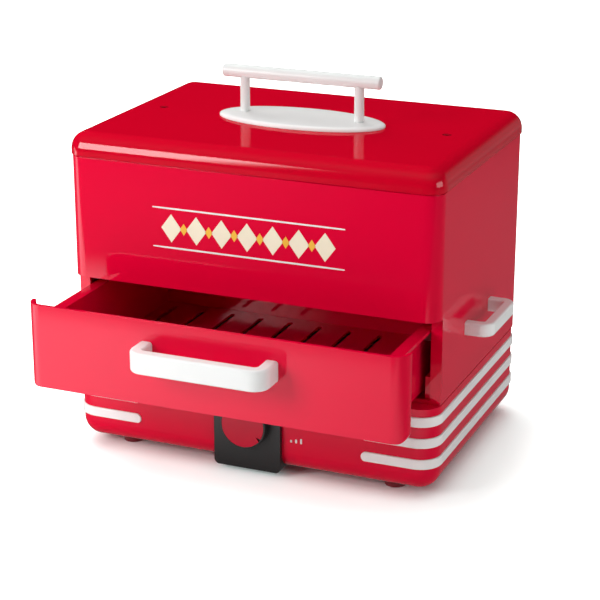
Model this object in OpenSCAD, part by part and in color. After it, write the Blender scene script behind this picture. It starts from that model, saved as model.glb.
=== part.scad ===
// Counter-top food steamer: a red base with a water tank and heater, a housing with a
// sliding drawer below and a bread chamber above, and a lift-off lid.
// Millimetres, +Z up, front towards -Y, feet on Z = 0. The drawer is drawn pulled out.

/* [Body] */
// Width of the base and the housing over their side walls
body_w = 292; // [280:1:310]
// Depth of the base and the housing over their front and rear walls
body_d = 205; // [195:1:225]
// Radius of the housing's upright corners
housing_corner_r = 12; // [9:0.5:14]
// Wall of the housing
housing_wall = 2.6; // [2:0.1:3.2]
// Height of the housing from the base's rim to the lid's seam
housing_h = 160.1; // [150:0.1:180]
// Height of the drawer bay, from the base's rim to the front panel's lower edge
bay_h = 66.2; // [64:0.1:72]
// Distance of the bay's jambs behind the front panel
bay_setback = 12.6; // [12.4:0.1:15]
// Width of a jamb beside the bay
jamb_w = 8.5; // [7.5:0.1:9]
// Height of the threshold across the bay's floor
threshold_h = 3; // [1.5:0.1:3.5]
// Width of the ledge that carries the bread tray
ledge_w = 12; // [8:0.5:14]
// Half the side of the square corner posts that the housing is screwed down by
post_r = 5; // [4:0.1:5.4]
// Height of those posts
post_h = 20; // [14:0.5:30]
// Distance of those posts from the walls that they stand beside
post_inset = 0.6; // [0.2:0.1:1.5]

/* [Base] */
// Height of the base from its underside to its rim
base_h = 65.8; // [64:0.2:74]
// Radius of the base's upright corners
base_corner_r = 16; // [15.5:0.5:18]
// Radius of the rounding along the base's lower edge
base_edge_r = 15; // [10:0.5:15]
// Wall of the base
base_wall = 2.6; // [2:0.1:3]
// Thickness of the deck that closes the base
deck_t = 3; // [2.4:0.1:4]
// Height of a foot
foot_h = 5.5; // [3:0.5:7]
// Radius of a foot
foot_r = 8; // [6:0.5:9]
// Distance of a foot's axis from the base's side
foot_side = 37; // [34:0.5:42]
// Distance of a foot's axis from the base's front or rear
foot_front = 23; // [21:0.5:28]
// Radius of the spigot that holds a foot in the base's floor
foot_peg_r = 3; // [2:0.1:3.5]
// Wall of the deck's bosses round their screws
boss_wall = 2.6; // [2:0.1:3.5]
// Distance between a boss and its foot, in plan
boss_gap = 4; // [2:0.5:8]
// Depth of the seat for a screw's head in the base's floor
seat_d = 1; // [0.6:0.1:1.4]
// Radius of the bush for the mains lead
gland_r = 6; // [5:0.1:7]
// Wall of that bush
gland_wall = 2.4; // [2:0.1:3]
// Width of that bush's flange
gland_lip = 2.5; // [1.5:0.1:4]
// Thickness of that bush's flange
gland_flange_t = 3; // [2:0.1:4]
// Depth of that bush behind the rear wall
gland_in = 4; // [2:0.5:6]
// Height of that bush's axis above the base's underside
gland_rise = 26; // [22:0.5:40]
// Distance of that bush's axis from the bands' ends
gland_side = 28; // [20:0.5:40]

/* [Stripes] */
// Height of a trim band
stripe_h = 7.6; // [5:0.1:8]
// Distance between the bands
stripe_pitch = 16.5; // [12:0.1:17]
// Height of the upper band's centre above the table
stripe_top_z = 61.4; // [58:0.1:62]
// How far a band stands proud of the base
stripe_proud = 1.2; // [0.6:0.1:2]
// Depth of the groove that a band lies in
groove_d = 0.9; // [0.5:0.1:1.2]
// Rounding along a band's edges
stripe_edge_r = 0.8; // [0.3:0.1:0.9]
// Distance of a band's rounded ends from the middle of the front and the rear
stripe_end_x = 94; // [60:1:110]

/* [Dial] */
// Width of the dial plate
plate_w = 54; // [48:1:60]
// How far the plate stands out from the base's front
plate_proud = 3.6; // [3:0.1:5]
// Height of the plate's lower edge above the table
plate_low_z = 4; // [1.5:0.1:5]
// Height of the plate's upper edge above the table
plate_top_z = 66; // [64:0.2:68]
// Depth of the plate's lower end under the base's rounded edge
plate_foot_d = 16; // [8:0.5:20]
// Radius of the plate's corners
plate_corner_r = 4; // [2:0.5:6]
// Height of the knob's axis above the table
knob_z = 41.5; // [40:0.1:43]
// Radius of the knob
knob_r = 18.4; // [16:0.1:19]
// Length of the knob from its skirt to its face
knob_l = 7.4; // [6:0.1:10]
// Wall of the knob
knob_wall = 2; // [1.5:0.1:2.5]
// Width of the black rim round the knob's red face
knob_rim = 1.4; // [1:0.1:2.5]
// Rounding of the knob's front edge
knob_edge_r = 1; // [0.5:0.1:1.4]
// Gap between the knob and the plate
knob_gap = 0.4; // [0.3:0.05:0.8]
// Thickness of the knob's red face
face_t = 1.2; // [0.8:0.1:1.6]
// Length of the pointer's notch
notch_l = 4.2; // [3:0.1:6]
// Width of the pointer's notch at the rim
notch_w = 3.4; // [2:0.1:4]
// Wall of the knob's hub
hub_wall = 2; // [1.5:0.1:2.5]
// Radius of the knob's shaft
shaft_r = 3; // [2.5:0.1:3.5]
// Wall of the bush that the shaft turns in
bush_wall = 2; // [1.5:0.1:2.5]
// Width of the thermostat
thermostat_w = 30; // [24:0.5:36]
// Height of the thermostat
thermostat_h = 28; // [22:0.5:32]
// Depth of the thermostat behind the front wall
thermostat_d = 18; // [14:0.5:22]
// Thickness of the thermostat's rear wall
thermostat_wall = 3; // [2:0.5:4]
// Radius of the pegs that hold the plate
peg_r = 2.5; // [2:0.1:3]
// Distance of a peg from the plate's upper and side edges
peg_in = 7; // [5:0.5:9]
// Angle of the knob's pointer, clockwise from the top, at the highest setting
pointer_angle = 125; // [100:1:140]

/* [Drawer] */
// How far the drawer is drawn pulled out
drawer_pull = 68; // [0:1:140]
// Full travel of the drawer from closed to its stop
drawer_travel = 145; // [142:1:150]
// How far the drawer's front stands past the body's sides
drawer_over = 1; // [0:0.1:2]
// Depth of the drawer's front from its face to the edge of its wrapped ends
front_depth = 12; // [11:0.1:12]
// Radius of the drawer front's upright corners
front_corner_r = 11; // [8:0.1:11]
// Radius of the drawer front's lower corners
front_low_r = 6; // [4:0.1:8]
// Wall of the drawer's front
front_wall = 2.6; // [2:0.1:3]
// Gap above and below the drawer's front
front_gap = 1.2; // [0.6:0.1:2]
// Distance from the body's side to the inside of the food tray
tray_side = 19; // [18.5:0.1:22]
// Radius of the food tray's upright corners
tray_corner_r = 3.4; // [3:0.1:5]
// Room behind the tray's flange when the drawer is shut
tray_back = 3; // [2:0.5:6]
// Wall of the food tray
tray_wall = 2.2; // [1.6:0.1:2.5]
// Height of the tray's floor above the base's rim
tray_floor_z = 6.7; // [6.3:0.1:8]
// Height of the tray's rim above the base's rim
tray_rim_z = 56.7; // [54:0.1:57]
// Width of the rim's flange
flange_w = 7; // [5:0.1:7.2]
// Thickness of the rim's flange
flange_t = 2.5; // [2:0.1:3]
// Height of a runner under the flange
runner_h = 6; // [4:0.1:8]
// Running clearance between the flange and its runner
run_gap = 0.3; // [0.2:0.05:0.5]
// Clearance between the tray's side and a runner
runner_gap = 1.2; // [0.8:0.1:2]
// Length of a stop lug on the flange
lug_l = 8; // [5:0.5:12]
// Clearance between a stop lug and the housing's side
lug_side = 2; // [1:0.1:2.4]
// Room between a stop lug and its jamb at full travel
lug_gap = 0.5; // [0.3:0.1:1]
// Number of steam slots across the tray
slot_count = 10; // [6:1:10]
// Width of a steam slot
slot_w = 4; // [3:0.1:5]
// Length of a steam slot
slot_l = 74; // [50:1:76]

/* [Drawer handle] */
// Width of the drawer's handle
dh_w = 107; // [96:1:120]
// How far the handle stands out from the drawer's front
dh_d = 25; // [22:0.5:30]
// Height of the handle's bar
dh_h = 16; // [13:0.5:18]
// Thickness of the handle's bar
dh_t = 9.6; // [8:0.1:11]
// Outer radius of the handle's corners
dh_corner_r = 12; // [11.4:0.1:16]
// Rounding along the handle's edges
dh_edge_r = 2.2; // [1:0.1:3]
// Height of the handle's middle above the base's rim
dh_z = 41.6; // [36:0.1:42]

/* [Side handles] */
// Length of a side handle
sh_l = 66; // [60:1:80]
// How far a side handle stands out from the housing
sh_d = 20.5; // [17:0.5:24]
// Height of a side handle's bar
sh_h = 10.2; // [9:0.1:11]
// Thickness of a side handle's bar
sh_t = 8; // [7:0.1:8.5]
// Outer radius of a side handle's corners
sh_corner_r = 10; // [9:0.1:12]
// Rounding along a side handle's edges
sh_edge_r = 1.6; // [0.8:0.1:2.5]
// Height of a side handle's middle above the base's rim
sh_z = 41.8; // [39:0.1:42]
// Distance of a side handle's middle in front of the housing's middle
sh_front = 5; // [0:1:12]

/* [Lid] */
// Height of the lid above its seam
lid_h = 17; // [15:0.1:22]
// How far the lid stands past the housing
lid_over = 1.2; // [0.8:0.1:2]
// Radius of the lid's upright corners
lid_corner_r = 14; // [13.8:0.1:16]
// Radius of the rounding along the lid's upper edge
lid_edge_r = 13; // [8:0.1:13.4]
// Wall of the lid
lid_wall = 2.5; // [2:0.1:3]
// Depth of the lip that locates the lid in the housing
lip_d = 6; // [4:0.5:10]
// Thickness of that lip
lip_t = 2; // [1.5:0.1:2.5]
// Clearance round that lip
lip_gap = 0.6; // [0.4:0.05:1]
// Seam between the lid and the housing's rim
seam_gap = 0.3; // [0.2:0.05:0.6]
// Height of the shadow step round the housing's upper and lower edges
shadow_h = 0.9; // [0.5:0.1:1.2]
// Depth of that step
shadow_d = 1; // [0.5:0.1:1.4]
// Radius of a steam vent
vent_r = 3.4; // [2:0.1:4]
// Distance of a steam vent from the middle of the lid
vent_x = 116; // [100:1:118]

/* [Lid handle] */
// Length of the oval plate under the handle
oval_l = 134; // [124:1:150]
// Width of the oval plate
oval_w = 60; // [52:1:68]
// Radius of the oval's narrow ends
oval_end_r = 18; // [14:0.5:20]
// Thickness of the oval plate
oval_t = 3.4; // [2.5:0.1:5]
// Width of the step round the oval plate's upper face
oval_step = 1.2; // [0.6:0.1:2]
// Length of the handle's bar
bar_l = 128; // [116:1:140]
// Radius of the handle's bar
bar_r = 5; // [4.4:0.1:6]
// Height of the bar's axis above the lid
bar_z = 34; // [28:0.5:40]
// Rounding at the ends of the bar
bar_edge_r = 1.2; // [0.6:0.1:2]
// Radius of a handle post
post_bar_r = 3.7; // [3.4:0.1:4.2]
// Distance between the handle's posts
post_span = 93.4; // [84:0.2:100]

/* [Steam] */
// Inside width of the water tank
tank_w = 200; // [180:1:214]
// Inside depth of the water tank, front to back
tank_d = 122; // [100:1:126]
// Depth of the water tank below the base's rim
tank_h = 36; // [28:0.5:40]
// Sheet thickness of the tank
tank_t = 1.2; // [0.8:0.1:1.5]
// Width of the tank's flange on the deck
tank_flange = 7; // [5:0.5:9]
// Width of the seal round the tank
seal_w = 4; // [3:0.1:5]
// Thickness of that seal
seal_t = 2.5; // [1.5:0.1:3]
// Radius of the tank's corners
tank_corner_r = 14; // [10:0.5:18]
// Radius of the heating ring's centre line
heater_r = 44; // [34:0.5:46]
// Radius of the heating ring's tube
heater_tube_r = 4; // [3:0.1:4.5]
// Length of a heating ring's terminal
terminal_l = 8; // [6:0.5:10]
// Radius of the safety cut-out's flange
cutout_r = 11; // [9:0.5:14]
// Thickness of the safety cut-out's flange
cutout_flange_t = 3; // [2:0.1:4]
// Radius of the safety cut-out's body
cutout_body_r = 7.5; // [6:0.1:8.5]
// Height of the safety cut-out
cutout_h = 9; // [7:0.5:10]
// Width of the terminal block
block_w = 36; // [30:0.5:40]
// Depth of the terminal block
block_d = 14; // [12:0.5:18]
// Height of the terminal block
block_h = 12; // [10:0.5:14]
// Radius of a well in the terminal block
block_well_r = 2.4; // [1.8:0.1:3]
// Thickness of the terminal block under its wells
block_floor = 4; // [2:0.5:6]
// Distance of the terminal block from the rear wall
block_back = 13; // [10:0.5:16]
// Distance of the terminal block's middle from the bush's axis
block_side = 44; // [34:0.5:54]
// Thickness of the steam plate over the tank
diffuser_t = 1.5; // [1:0.1:2]
// Distance of the steam plate's edge inside the tank's flange
diffuser_in = 2; // [1:0.5:4]
// Radius of a hole in the steam plate
diffuser_hole_r = 3; // [2:0.1:4]
// Thickness of the bread tray
bread_t = 2; // [1.5:0.1:3]
// Clearance round the bread tray
bread_gap = 2; // [1:0.1:3]
// Plain margin beside the bread tray's slots
bread_margin = 15; // [10:0.5:20]

/* [Fixings] */
// Radius of a screw's shank
screw_r = 2; // [1.5:0.1:2.2]
// Radius of a screw's head
screw_head_r = 3.5; // [3:0.1:3.8]
// Height of a screw's head
screw_head_h = 2.4; // [1.6:0.1:2.6]
// Length of a screw in the piece that it holds
screw_grip = 12; // [8:0.5:14]
// Depth of a screw's hole past its tip
screw_spare = 1; // [0.5:0.1:2]
// Length of solid handle left in front of a screw's tip
grip_left = 4; // [2.5:0.5:5]
// Clearance round fixings and seated pieces
fit = 0.1; // [0.05:0.01:0.2]
// Running clearance round the knob's shaft
shaft_gap = 0.05; // [0.02:0.01:0.08]

/* [Hidden] */
$fn = 64;

red = "#c80a2c";
dark_red = "#7a0a1c";
white = "#f2f2f0";
black = "#26221f";
steel = "#b8bcc0";

// Levels above the table
base_z = foot_h;
rim_z = base_z + base_h;
deck_z = rim_z - deck_t;
floor_z = base_z + base_wall;
panel_z = rim_z + bay_h;
seam_z = rim_z + housing_h;
lid_z = seam_z + seam_gap;
lid_top_z = seam_z + lid_h;
oval_z = lid_top_z + oval_t;
bar_axis_z = lid_top_z + bar_z;

// Faces in plan
front_y = -body_d / 2;
rear_y = body_d / 2;
side_x = body_w / 2;
jamb_y = front_y + bay_setback;
jamb_back_y = jamb_y + housing_wall;
jamb_x = side_x - jamb_w;
inner_x = side_x - housing_wall;

// The object's own box is centred on the origin, so the body lies behind it
place_y = (drawer_pull + dh_d - gland_flange_t) / 2;

// Drawer, in its pulled-out place
drawer_y = front_y - drawer_pull;
front_w = body_w + 2 * drawer_over;
front_z = rim_z + front_gap;
front_h = bay_h - 2 * front_gap;
tray_y = drawer_y + front_wall + fit;
tray_w = body_w - 2 * tray_side;
tray_l = body_d - front_wall - fit - housing_wall - tray_back - flange_w;
tray_outer_w = tray_w + 2 * tray_wall;
tray_z = rim_z + tray_floor_z;
floor_top_z = tray_z + tray_wall;
rim_top_z = rim_z + tray_rim_z;
runner_z = rim_top_z - flange_t - run_gap - runner_h;
runner_in_x = tray_outer_w / 2 + runner_gap;
lug_y = jamb_back_y + drawer_travel - drawer_pull + lug_gap;
lug_x = inner_x - lug_side;

// Fixing places
post_x = inner_x - post_r - post_inset;
post_front_y = jamb_back_y + post_r + post_inset;
post_rear_y = rear_y - housing_corner_r - post_r;
boss_r = screw_r + boss_wall;
boss_x = side_x - foot_side - foot_r - boss_r - boss_gap;
boss_y = body_d / 2 - foot_front;
dh_screw_x = dh_w / 2 - dh_t / 2;
sh_screw_y = sh_l / 2 - sh_t / 2;
dh_axis_z = rim_z + dh_z;
sh_axis_z = rim_z + sh_z;
bush_r = shaft_r + bush_wall;
gland_x = stripe_end_x - gland_side;
gland_z = base_z + gland_rise;
plate_y = front_y - plate_proud;
knob_back_y = plate_y - knob_gap;
knob_front_y = knob_back_y - knob_l;
shaft_end_y = front_y + base_wall + thermostat_d - thermostat_wall;
peg_x = plate_w / 2 - peg_in;
peg_z = plate_top_z - peg_in;
face_wall = 0.8;
hub_l = knob_l - face_t - face_wall;
hub_r = bush_r + hub_wall;
bush_room = 2;
heater_z = rim_z - tank_h - tank_t - heater_tube_r;
bread_w = body_w - 2 * housing_wall - 2 * bread_gap;
bread_d = body_d - 2 * housing_wall - 2 * bread_gap;
bread_r = housing_corner_r - housing_wall - bread_gap / 2;
cutout_z = rim_z - tank_h - tank_t;
diffuser_out = tank_flange - diffuser_in;

// A rectangle with rounded corners, centred
module rounded_rect(w, d, r) {
    square([w - 2 * r, d], center = true);
    square([w, d - 2 * r], center = true);
    for (sx = [-1, 1], sy = [-1, 1])
        translate([sx * (w / 2 - r), sy * (d / 2 - r)])
            circle(r);
}

// An upright rounded prism
module rounded_prism(w, d, h, r) {
    linear_extrude(h)
        rounded_rect(w, d, r);
}

// Plan of the food tray, open or square at its front and rounded at its rear corners
module tray_plan(w, l, r) {
    translate([0, l / 2])
        rounded_rect(w, l, r);
    translate([-w / 2, 0])
        square([w, l / 2]);
}

// A rounded ring between two rectangles
module rounded_ring(w, d, h, r, t) {
    linear_extrude(h)
        difference() {
            rounded_rect(w, d, r);
            rounded_rect(w - 2 * t, d - 2 * t, r - t);
        }
}

// The end view of a block whose two upper edges are rounded
module domed_section(w, h, edge_r) {
    translate([-w / 2, 0])
        square([w, h - edge_r]);
    translate([-w / 2 + edge_r, 0])
        square([w - 2 * edge_r, h]);
    for (s = [-1, 1])
        translate([s * (w / 2 - edge_r), h - edge_r])
            intersection() {
                circle(edge_r);
                translate([-edge_r, 0])
                    square([2 * edge_r, edge_r]);
            }
}

// A block with rounded upright corners and one rounded edge all round its top
module domed_block(w, d, h, corner_r, edge_r) {
    rotate([90, 0, 90])
        linear_extrude(w - 2 * corner_r, center = true)
            domed_section(d, h, edge_r);
    rotate([90, 0, 0])
        linear_extrude(d - 2 * corner_r, center = true)
            domed_section(w, h, edge_r);
    for (sx = [-1, 1], sy = [-1, 1])
        translate([sx * (w / 2 - corner_r), sy * (d / 2 - corner_r), 0])
            rotate_extrude()
                intersection() {
                    domed_section(2 * corner_r, h, edge_r);
                    square([corner_r, h]);
                }
}

// The base's outer form, grown by a margin, with its rounding underneath
module base_form(grow) {
    translate([0, 0, rim_z])
        mirror([0, 0, 1])
            domed_block(body_w + 2 * grow, body_d + 2 * grow, base_h + grow,
                base_corner_r + grow, base_edge_r + grow);
}

// A cylinder along Y from one place to another
module rod_y(x, y0, y1, z, r) {
    translate([x, y0, z])
        rotate([-90, 0, 0])
            cylinder(r = r, h = y1 - y0);
}

// A cylinder along X from one place to another
module rod_x(x0, x1, y, z, r) {
    translate([x0, y, z])
        rotate([0, 90, 0])
            cylinder(r = r, h = x1 - x0);
}

// A screw that points up from its head
module screw_up(l) {
    cylinder(r = screw_head_r, h = screw_head_h);
    cylinder(r = screw_r, h = screw_head_h + l);
}

// A slot with round ends along Y, as a flat shape
module slot_shape(l, w) {
    square([w, l - w], center = true);
    for (s = [-1, 1])
        translate([0, s * (l - w) / 2])
            circle(w / 2);
}

// Two rows of steam slots across a floor
module slot_rows(span_x, span_y) {
    for (i = [0 : slot_count - 1], s = [-1, 1])
        translate([(i - (slot_count - 1) / 2) * span_x / slot_count, s * span_y / 4])
            slot_shape(slot_l, slot_w);
}

// The four places of the base's screws
module at_bosses() {
    for (sx = [-1, 1], sy = [-1, 1])
        translate([sx * boss_x, sy * boss_y, 0])
            children();
}

// The four places of the housing's posts
module at_posts() {
    for (sx = [-1, 1], y = [post_front_y, post_rear_y])
        translate([sx * post_x, y, 0])
            children();
}

// The four places of the feet
module at_feet() {
    for (sx = [-1, 1], sy = [-1, 1])
        translate([sx * (side_x - foot_side), sy * (body_d / 2 - foot_front), 0])
            children();
}

// A rounded section carried round a rectangle with rounded corners, about Z = 0
module swept_ring(w, d, r, t, h, edge_r) {
    for (s = [-1, 1]) {
        translate([s * (w - t) / 2, 0, 0])
            rotate([90, 0, 0])
                linear_extrude(d - 2 * r, center = true)
                    rounded_rect(t, h, edge_r);
        translate([0, s * (d - t) / 2, 0])
            rotate([90, 0, 90])
                linear_extrude(w - 2 * r, center = true)
                    rounded_rect(t, h, edge_r);
    }
    for (corner = [[1, 1, 0], [-1, 1, 90], [-1, -1, 180], [1, -1, 270]])
        translate([corner[0] * (w / 2 - r), corner[1] * (d / 2 - r), 0])
            rotate([0, 0, corner[2]])
                rotate_extrude(angle = 90)
                    translate([r - t / 2, 0])
                        rounded_rect(t, h, edge_r);
}

// What is cut away between the bands' rounded ends, on the front and the rear
module between_ends(h) {
    rotate([90, 0, 0])
        linear_extrude(2 * body_d, center = true)
            difference() {
                square([2 * stripe_end_x, 2 * h], center = true);
                for (s = [-1, 1])
                    translate([s * stripe_end_x, 0])
                        circle(h / 2);
            }
}

// Height of a trim band, from the upper one down
module at_band(index) {
    translate([0, 0, stripe_top_z - index * stripe_pitch])
        children();
}

// Groove in the base for a trim band
module groove(index) {
    h = stripe_h + 2 * fit;
    at_band(index)
        difference() {
            translate([0, 0, -h / 2])
                rounded_ring(body_w + 2, body_d + 2, h, base_corner_r + 1, groove_d + 1);
            between_ends(h);
        }
}

// Bowl of the base: rounded lower edge, grooves for the bands, holes for its fixings
module base_shell() {
    color(red)
        difference() {
            base_form(0);
            translate([0, 0, rim_z + 1])
                mirror([0, 0, 1])
                    domed_block(body_w - 2 * base_wall, body_d - 2 * base_wall,
                        base_h - base_wall + 1, base_corner_r - base_wall, base_edge_r - base_wall);
            for (i = [0 : 2])
                groove(i);
            rod_y(0, front_y - 1, front_y + base_wall + 1, knob_z, bush_r + fit);
            rod_y(gland_x, rear_y - base_wall - 1, rear_y + 1, gland_z, gland_r + fit);
            at_feet()
                translate([0, 0, base_z - 1])
                    cylinder(r = foot_peg_r + fit, h = base_wall + 2);
            at_bosses() {
                translate([0, 0, base_z - 1])
                    cylinder(r = screw_r + fit, h = base_wall + 2);
                translate([0, 0, base_z - 1])
                    cylinder(r = screw_head_r + fit, h = 1 + seat_d);
            }
            for (s = [-1, 1])
                rod_y(s * peg_x, front_y - 1, front_y + base_wall + 1, peg_z, peg_r + fit);
        }
}

// Deck: closes the base, carries the tank and the housing's screws
module base_deck() {
    color(red)
        difference() {
            union() {
                translate([0, 0, deck_z])
                    rounded_prism(body_w - 2 * base_wall - 2 * fit, body_d - 2 * base_wall - 2 * fit,
                        deck_t, base_corner_r - base_wall - fit);
                at_bosses()
                    translate([0, 0, floor_z])
                        cylinder(r = boss_r, h = deck_z - floor_z + 1);
            }
            translate([0, 0, deck_z - 1])
                rounded_prism(tank_w + 2 * tank_t + 2 * fit, tank_d + 2 * tank_t + 2 * fit,
                    deck_t + 2, tank_corner_r + tank_t + fit);
            at_bosses()
                translate([0, 0, floor_z - 1])
                    cylinder(r = screw_r + fit, h = 1 + seat_d + screw_grip + screw_spare);
            at_posts()
                translate([0, 0, deck_z - 1])
                    cylinder(r = screw_r + fit, h = deck_t + 2);
        }
}

// Four feet with spigots pressed into the base's floor
module feet() {
    color(dark_red)
        at_feet() {
            cylinder(r = foot_r, h = foot_h);
            cylinder(r = foot_peg_r, h = foot_h + base_wall);
        }
}

// Four screws from below into the deck's bosses
module base_screws() {
    color(steel)
        at_bosses()
            translate([0, 0, base_z + seat_d - screw_head_h])
                screw_up(base_wall + screw_grip);
}

// Four screws from under the deck into the housing's posts
module housing_screws() {
    color(steel)
        at_posts()
            translate([0, 0, deck_z - screw_head_h])
                screw_up(deck_t + screw_grip);
}

// A white trim band in its groove, with a rounded section and rounded ends
module stripe(index) {
    color(white)
        at_band(index)
            difference() {
                swept_ring(body_w + 2 * stripe_proud, body_d + 2 * stripe_proud,
                    base_corner_r + stripe_proud, stripe_proud + groove_d - fit, stripe_h, stripe_edge_r);
                between_ends(stripe_h);
            }
}

module stripe_upper() {
    stripe(0);
}

module stripe_middle() {
    stripe(1);
}

module stripe_lower() {
    stripe(2);
}

// Bush in the rear wall that a mains lead passes through
module cord_gland() {
    color(black)
        difference() {
            union() {
                rod_y(gland_x, rear_y - base_wall - gland_in, rear_y + 1, gland_z, gland_r);
                rod_y(gland_x, rear_y, rear_y + gland_flange_t, gland_z, gland_r + gland_lip);
            }
            rod_y(gland_x, rear_y - base_wall - gland_in - 1, rear_y + gland_flange_t + 1, gland_z,
                gland_r - gland_wall);
        }
}

// Black plate behind the knob, wrapped under the base's rounded edge
module dial_plate() {
    color(black)
        difference() {
            translate([0, plate_y, 0])
                rotate([-90, 0, 0])
                    linear_extrude(plate_proud + plate_foot_d)
                        translate([0, -(plate_low_z + plate_top_z) / 2])
                            rounded_rect(plate_w, plate_top_z - plate_low_z, plate_corner_r);
            base_form(fit);
            rod_y(0, plate_y - 1, rear_y, knob_z, bush_r + fit);
        }
    color(black)
        for (s = [-1, 1])
            rod_y(s * peg_x, plate_y + 1, front_y + base_wall, peg_z, peg_r);
}

// Thermostat on the inside of the front wall, its bush through the wall and the plate
module thermostat() {
    color(steel)
        difference() {
            union() {
                translate([-thermostat_w / 2, front_y + base_wall, knob_z - thermostat_h / 2])
                    cube([thermostat_w, thermostat_d, thermostat_h]);
                rod_y(0, plate_y, front_y + base_wall + 1, knob_z, bush_r);
            }
            rod_y(0, plate_y - 1, shaft_end_y, knob_z, shaft_r + shaft_gap);
        }
}

// Turn a piece drawn along +Z so that its +Z points out of the dial
module on_dial(y) {
    translate([0, y, knob_z])
        rotate([90, 0, 0])
            children();
}

// Hollow black knob with a hub for the shaft and a recess for its face
module knob() {
    color(black)
        on_dial(knob_back_y)
            rotate_extrude()
                difference() {
                    union() {
                        square([knob_r, knob_l - knob_edge_r]);
                        square([knob_r - knob_edge_r, knob_l]);
                        translate([knob_r - knob_edge_r, knob_l - knob_edge_r])
                            circle(knob_edge_r);
                    }
                    translate([hub_r, -1])
                        square([knob_r - knob_wall - hub_r, knob_l - face_t - knob_wall + 1]);
                    translate([-knob_r, knob_l - face_t])
                        square([2 * knob_r - knob_rim, face_t + 1]);
                    translate([-knob_r, -1])
                        square([knob_r + bush_r + knob_gap, 1 + bush_room]);
                    translate([-knob_r, -1])
                        square([knob_r + shaft_r + fit / 2, hub_l + 1]);
                    translate([-2 * knob_r, -1])
                        square([2 * knob_r, knob_l + 2]);
                }
}

// Red face of the knob with the pointer's notch at its rim
module knob_face() {
    color(red)
        on_dial(knob_front_y + face_t)
            linear_extrude(face_t)
                difference() {
                    circle(knob_r - knob_rim - fit);
                    rotate(90 - pointer_angle)
                        translate([knob_r - knob_rim - notch_l, 0])
                            polygon([[0, 0], [notch_l + 1, -notch_w / 2], [notch_l + 1, notch_w / 2]]);
                }
}

// Shaft from the knob's hub into the thermostat
module knob_shaft() {
    color(steel)
        rod_y(0, knob_back_y - hub_l + 2 * fit, shaft_end_y - screw_spare, knob_z, shaft_r);
}

// Pressed steel water tank hung in the deck by its flange
module water_tank() {
    color(steel)
        difference() {
            union() {
                translate([0, 0, rim_z])
                    rounded_prism(tank_w + 2 * tank_flange, tank_d + 2 * tank_flange, tank_t,
                        tank_corner_r + tank_flange);
                translate([0, 0, rim_z - tank_h - tank_t])
                    rounded_prism(tank_w + 2 * tank_t, tank_d + 2 * tank_t, tank_h + tank_t + 0.5,
                        tank_corner_r + tank_t);
            }
            translate([0, 0, rim_z - tank_h])
                rounded_prism(tank_w, tank_d, tank_h + tank_t + 1, tank_corner_r);
        }
}

// Seal round the tank, under the deck
module tank_seal() {
    grow = 2 * (tank_t + fit + seal_w);
    color(black)
        translate([0, 0, deck_z - seal_t])
            rounded_ring(tank_w + grow, tank_d + grow, seal_t, tank_corner_r + grow / 2, seal_w);
}

// Heating ring against the tank's underside, with two terminals
module heating_ring() {
    color("#6e7074")
        translate([0, 0, heater_z]) {
            rotate([0, 0, -70])
                rotate_extrude(angle = 320)
                    translate([heater_r, 0])
                        circle(heater_tube_r);
            for (a = [-70, 250])
                rotate([0, 0, a])
                    translate([heater_r, 0, 0]) {
                        sphere(heater_tube_r);
                        translate([0, 0, -heater_tube_r - terminal_l])
                            cylinder(r = heater_tube_r / 2, h = heater_tube_r + terminal_l);
                    }
        }
}

// Safety cut-out disc under the middle of the tank
module thermal_cutout() {
    color(steel) {
        translate([0, 0, cutout_z - cutout_flange_t])
            cylinder(r = cutout_r, h = cutout_flange_t);
        translate([0, 0, cutout_z - cutout_h])
            cylinder(r = cutout_body_r, h = cutout_h);
    }
}

// Terminal block on the base's floor behind the tank
module terminal_block() {
    color(white)
        translate([gland_x - block_side - block_w / 2, rear_y - base_wall - block_back - block_d, floor_z])
            difference() {
                cube([block_w, block_d, block_h]);
                for (i = [0 : 2])
                    translate([block_w * (i + 0.5) / 3, block_d / 2, block_floor])
                        cylinder(r = block_well_r, h = block_h);
            }
}

// Perforated plate that spreads the steam over the tank
module steam_plate() {
    color(steel)
        translate([0, 0, rim_z + tank_t])
            linear_extrude(diffuser_t)
                difference() {
                    rounded_rect(tank_w + 2 * diffuser_out, tank_d + 2 * diffuser_out,
                        tank_corner_r + diffuser_out);
                    for (i = [-4 : 4], j = [-2 : 2])
                        translate([i * tank_w / 10, j * tank_d / 6])
                            circle(diffuser_hole_r);
                }
}

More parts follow.
